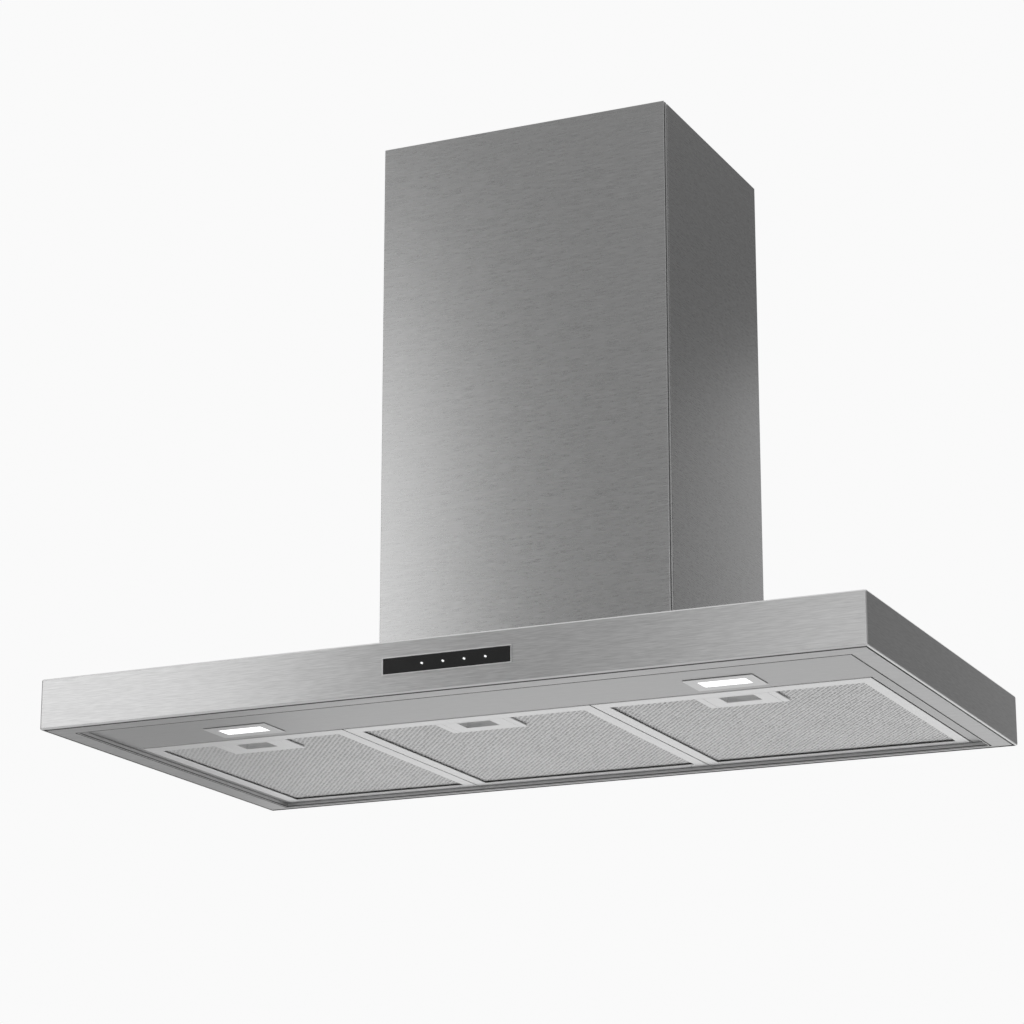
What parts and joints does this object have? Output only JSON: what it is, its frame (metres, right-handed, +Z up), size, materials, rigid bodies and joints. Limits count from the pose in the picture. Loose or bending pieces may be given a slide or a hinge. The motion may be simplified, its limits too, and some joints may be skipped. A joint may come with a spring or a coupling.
{
  "type": "range hood",
  "caption": "Box-shaped stainless cooker hood for a wall, with a telescopic chimney, drop-down grease filters, lamps and a touch control strip.",
  "frame": {"origin": "centre of the canopy's back face, on the wall plane", "axes": "+Z up, +Y into the wall, +X to the right for someone facing the hood"},
  "size_m": [0.9, 0.5009, 0.68],
  "materials": {
    "canopy_steel": "brushed stainless steel, grain along each face",
    "ceiling_steel": "brushed stainless steel",
    "chimney_steel": "brushed stainless steel, horizontal grain",
    "inner_steel": "plain galvanised sheet",
    "trim_metal": "satin anodised",
    "black_glass": "gloss black glass",
    "indicator_white": "lit white light guide",
    "lamp_white": "lit opal diffuser",
    "filter_frame_metal": "satin aluminium",
    "filter_mesh_metal": "expanded aluminium mesh",
    "zinc": "zinc plated",
    "motor_metal": "satin plated can",
    "black_plastic": "matte moulded",
    "grey_plastic": "matte moulded",
    "circuit_board": "coated board"
  },
  "bodies": {
    "root": {"canopy_shell": "canopy_steel", "ceiling_panel": "ceiling_steel", "filter_rail_left": "inner_steel", "filter_rail_right": "inner_steel", "motor_housing": "inner_steel", "housing_cover": "inner_steel", "chimney_foot_left": "inner_steel", "chimney_foot_right": "inner_steel", "chimney_front": "chimney_steel", "chimney_side_left": "chimney_steel", "chimney_side_right": "chimney_steel", "control_frame": "trim_metal", "lamp_bezel_left": "trim_metal", "lamp_bezel_right": "trim_metal", "control_glass": "black_glass", "indicator_1": "indicator_white", "indicator_2": "indicator_white", "indicator_3": "indicator_white", "indicator_4": "indicator_white", "lamp_lens_left": "lamp_white", "lamp_lens_right": "lamp_white", "cover_screw_left": "zinc", "cover_screw_right": "zinc", "wall_hook_left": "zinc", "wall_hook_right": "zinc", "flap_pin": "zinc", "motor_bracket": "zinc", "lamp_module_left": "zinc", "lamp_module_right": "zinc", "motor": "motor_metal", "control_housing": "black_plastic", "duct_collar": "black_plastic", "cable_gland": "black_plastic", "scroll_left": "grey_plastic", "scroll_right": "grey_plastic", "inlet_ring": "grey_plastic", "capacitor": "grey_plastic", "electronics_box": "grey_plastic", "electronics_lid": "grey_plastic", "control_board": "circuit_board"},
    "filter_1": {"filter_1_frame": "filter_frame_metal", "filter_1_mesh": "filter_mesh_metal", "filter_1_handle": "filter_frame_metal"},
    "latch_1": {"filter_1_latch": "zinc"},
    "filter_2": {"filter_2_frame": "filter_frame_metal", "filter_2_mesh": "filter_mesh_metal", "filter_2_handle": "filter_frame_metal"},
    "latch_2": {"filter_2_latch": "zinc"},
    "filter_3": {"filter_3_frame": "filter_frame_metal", "filter_3_mesh": "filter_mesh_metal", "filter_3_handle": "filter_frame_metal"},
    "latch_3": {"filter_3_latch": "zinc"},
    "rotor": {"impeller": "black_plastic", "rotor_shaft": "zinc"},
    "flap_front": {"flap_front": "black_plastic"},
    "flap_back": {"flap_back": "black_plastic"},
    "upper_chimney": {"upper_chimney": "chimney_steel", "upper_bracket": "zinc"}
  },
  "joints": [
    {"name": "filter_1_swing", "type": "hinge", "parent": "root", "child": "filter_1", "pos_m": [-0.2939, -0.018, -0.0226], "axis": [1, 0, 0], "range_deg": [0, 75]},
    {"name": "filter_2_swing", "type": "hinge", "parent": "root", "child": "filter_2", "pos_m": [-0.03275, -0.018, -0.0226], "axis": [1, 0, 0], "range_deg": [0, 75]},
    {"name": "filter_3_swing", "type": "hinge", "parent": "root", "child": "filter_3", "pos_m": [0.25615, -0.018, -0.0226], "axis": [1, 0, 0], "range_deg": [0, 75]},
    {"name": "latch_1_slide", "type": "slide", "parent": "filter_1", "child": "latch_1", "axis": [0, 1, 0], "range_m": [0, 0.005], "stiffness_N_per_m": 250, "springref_m": -0.004},
    {"name": "latch_2_slide", "type": "slide", "parent": "filter_2", "child": "latch_2", "axis": [0, 1, 0], "range_m": [0, 0.005], "stiffness_N_per_m": 250, "springref_m": -0.004},
    {"name": "latch_3_slide", "type": "slide", "parent": "filter_3", "child": "latch_3", "axis": [0, 1, 0], "range_m": [0, 0.005], "stiffness_N_per_m": 250, "springref_m": -0.004},
    {"name": "impeller_spin", "type": "hinge", "parent": "root", "child": "rotor", "pos_m": [0, -0.14, 0.155], "axis": [1, 0, 0], "continuous": true},
    {"name": "flap_front_swing", "type": "hinge", "parent": "root", "child": "flap_front", "pos_m": [0, -0.165, 0.325], "axis": [-1, 0, 0], "range_deg": [0, 75]},
    {"name": "flap_back_swing", "type": "hinge", "parent": "root", "child": "flap_back", "pos_m": [0, -0.165, 0.325], "axis": [1, 0, 0], "range_deg": [0, 75]},
    {"name": "chimney_slide", "type": "slide", "parent": "root", "child": "upper_chimney", "axis": [0, 0, 1], "range_m": [0, 0.25]}
  ]
}
